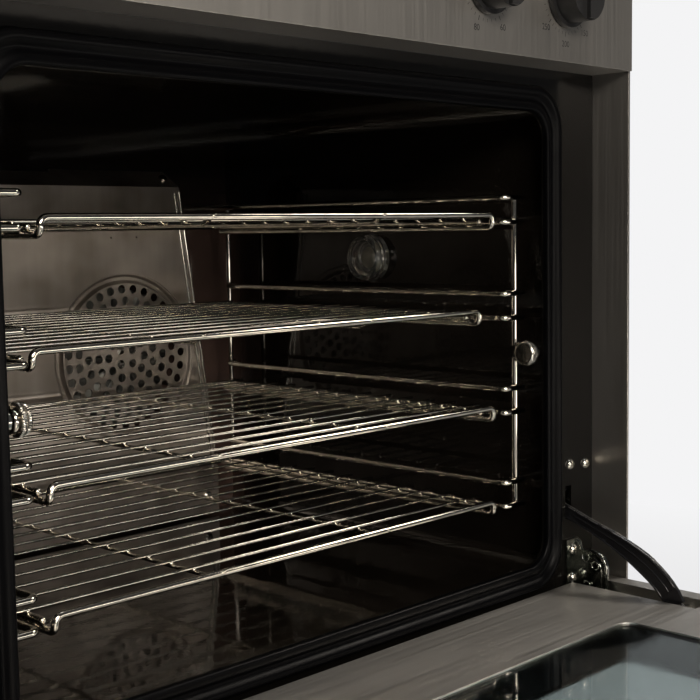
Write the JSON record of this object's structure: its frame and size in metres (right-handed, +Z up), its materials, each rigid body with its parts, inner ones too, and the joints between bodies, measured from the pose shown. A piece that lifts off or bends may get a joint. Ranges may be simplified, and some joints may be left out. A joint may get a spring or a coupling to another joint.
{
  "type": "convection oven",
  "caption": "Counter-top convection oven with a drop-down door on stays, wire shelves on side racks, a lamp and rear fans.",
  "frame": {"origin": "middle of the footprint of the oven with its door open, at the level of the feet", "axes": "+Z up, +Y from the door to the rear wall, +X to the right seen from the front"},
  "size_m": [0.6, 0.955, 0.58],
  "materials": {
    "case_steel": "brushed stainless sheet, grain upright",
    "case_top": "brushed stainless sheet, grain across",
    "galvanised": "galvanised sheet, faint spangle",
    "flange_black": "black vitreous enamel, glossy",
    "enamel": "black vitreous enamel, glossy, with fine light specks",
    "wool": "mineral wool blanket",
    "seal": "black silicone seal, satin",
    "baffle_steel": "brushed stainless, heat-tinted",
    "guard_steel": "pressed stainless, perforated",
    "element_steel": "oxidised heater tube",
    "motor": "laminated steel and plated plate",
    "chrome_wire": "chromed wire",
    "fastener": "plated steel",
    "lamp_glass": "clear heat-resistant glass",
    "lamp_metal": "pressed steel cup",
    "bulb": "frosted oven bulb",
    "zinc": "zinc-plated steel",
    "control": "moulded ivory plastic",
    "amber": "translucent amber plastic",
    "black_plastic": "black moulded plastic",
    "foot_rubber": "black rubber",
    "door_steel": "brushed stainless sheet",
    "door_liner": "brushed stainless sheet",
    "door_glass": "toughened glass",
    "stay_black": "black coated steel",
    "fan_metal": "aluminised steel"
  },
  "bodies": {
    "case": {"side_panel_left": "case_steel", "side_panel_right": "case_steel", "top_panel": "case_top", "rear_panel": "galvanised", "base_pan": "galvanised", "front_flange": "flange_black", "control_panel": "case_steel", "cavity_liner": "enamel", "insulation": "wool", "door_gasket": "seal", "rear_baffle": "baffle_steel", "baffle_screws": "fastener", "fan_guard_left": "guard_steel", "fan_guard_right": "guard_steel", "heating_element_left": "element_steel", "heating_element_right": "element_steel", "fan_motor_left": "motor", "fan_motor_right": "motor", "rack_left": "chrome_wire", "rack_right": "chrome_wire", "rack_studs": "fastener", "thumb_nuts": "fastener", "lamp_glass": "lamp_glass", "lamp_holder": "lamp_metal", "lamp_bulb": "bulb", "hinge_bracket_left": "zinc", "hinge_bracket_right": "zinc", "hinge_screws": "fastener", "stay_channel_left": "zinc", "stay_channel_right": "zinc", "thermostat_body": "control", "timer_body": "control", "pilot_lamps": "amber", "terminal_block": "control", "feet": "foot_rubber", "cable_gland": "black_plastic", "case_screws": "fastener", "vent_tube": "galvanised"},
    "door": {"door_frame": "door_steel", "door_inner_panel": "door_liner", "door_outer_glass": "door_glass", "door_inner_glass": "door_glass", "glass_spacer": "seal", "door_handle": "door_steel", "handle_posts": "door_steel", "hinge_pins": "fastener", "door_screws": "fastener"},
    "stay_left": {"stay_arm_left": "stay_black"},
    "stay_right": {"stay_arm_right": "stay_black"},
    "shelf_top": {"shelf_1": "chrome_wire"},
    "shelf_second": {"shelf_2": "chrome_wire"},
    "shelf_third": {"shelf_3": "chrome_wire"},
    "shelf_bottom": {"shelf_4": "chrome_wire"},
    "fan_left": {"fan_left": "fan_metal", "fan_shaft_left": "fastener"},
    "fan_right": {"fan_right": "fan_metal", "fan_shaft_right": "fastener"},
    "thermostat_knob": {"thermostat_knob": "black_plastic"},
    "timer_knob": {"timer_knob": "black_plastic"}
  },
  "joints": [
    {"name": "door_hinge", "type": "hinge", "parent": "case", "child": "door", "pos_m": [0, -0.0655, 0.073], "axis": [1, 0, 0], "range_deg": [-90, 0], "stiffness_Nm_per_rad": 6, "springref_deg": -90},
    {"name": "stay_left_pivot", "type": "hinge", "parent": "door", "child": "stay_left", "pos_m": [-0.265, -0.1397, 0.081], "axis": [1, 0, 0], "range_deg": [0, 45]},
    {"name": "stay_right_pivot", "type": "hinge", "parent": "door", "child": "stay_right", "pos_m": [0.265, -0.1397, 0.081], "axis": [1, 0, 0], "range_deg": [0, 45]},
    {"name": "shelf_top_slide", "type": "slide", "parent": "case", "child": "shelf_top", "axis": [0, -1, 0], "range_m": [-0.013, 0.3]},
    {"name": "shelf_second_slide", "type": "slide", "parent": "case", "child": "shelf_second", "axis": [0, -1, 0], "range_m": [0, 0.3]},
    {"name": "shelf_third_slide", "type": "slide", "parent": "case", "child": "shelf_third", "axis": [0, -1, 0], "range_m": [-0.013, 0.3]},
    {"name": "shelf_bottom_slide", "type": "slide", "parent": "case", "child": "shelf_bottom", "axis": [0, -1, 0], "range_m": [-0.013, 0.3]},
    {"name": "fan_left_spin", "type": "hinge", "parent": "case", "child": "fan_left", "pos_m": [-0.104, 0.3375, 0.26], "axis": [0, 1, 0], "continuous": true},
    {"name": "fan_right_spin", "type": "hinge", "parent": "case", "child": "fan_right", "pos_m": [0.104, 0.3375, 0.26], "axis": [0, 1, 0], "continuous": true},
    {"name": "thermostat_turn", "type": "hinge", "parent": "case", "child": "thermostat_knob", "pos_m": [0.21, -0.0825, 0.534], "axis": [0, 1, 0], "range_deg": [0, 270]},
    {"name": "timer_turn", "type": "hinge", "parent": "case", "child": "timer_knob", "pos_m": [0.12, -0.0825, 0.534], "axis": [0, 1, 0], "range_deg": [0, 300]}
  ],
  "couplings": [
    {"joint": "stay_left_pivot", "follows": "door_hinge", "ratio": -0.5},
    {"joint": "stay_right_pivot", "follows": "door_hinge", "ratio": -0.5}
  ]
}
